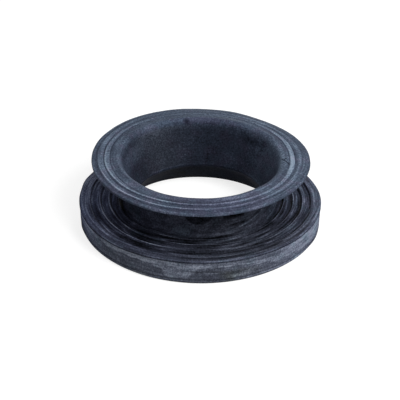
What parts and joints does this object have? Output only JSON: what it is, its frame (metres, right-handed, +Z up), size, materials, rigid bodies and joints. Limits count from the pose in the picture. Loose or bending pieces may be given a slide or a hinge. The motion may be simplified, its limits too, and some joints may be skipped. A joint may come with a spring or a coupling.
{
  "type": "waste seal",
  "caption": "Moulded rubber seal ring with a thick ribbed base, a short neck and a thin flared flange, gripping a sink or tray edge round its waste hole.",
  "frame": {"origin": "centre of the underside, on the bore's axis", "axes": "+Z up along the bore's axis, from the thick base towards the thin flange"},
  "size_m": [0.119, 0.119, 0.0358],
  "materials": {
    "rubber": "matt charcoal rubber with a blue cast and a chalky bloom"
  },
  "bodies": {
    "root": {"waste_seal": "rubber"}
  },
  "joints": []
}
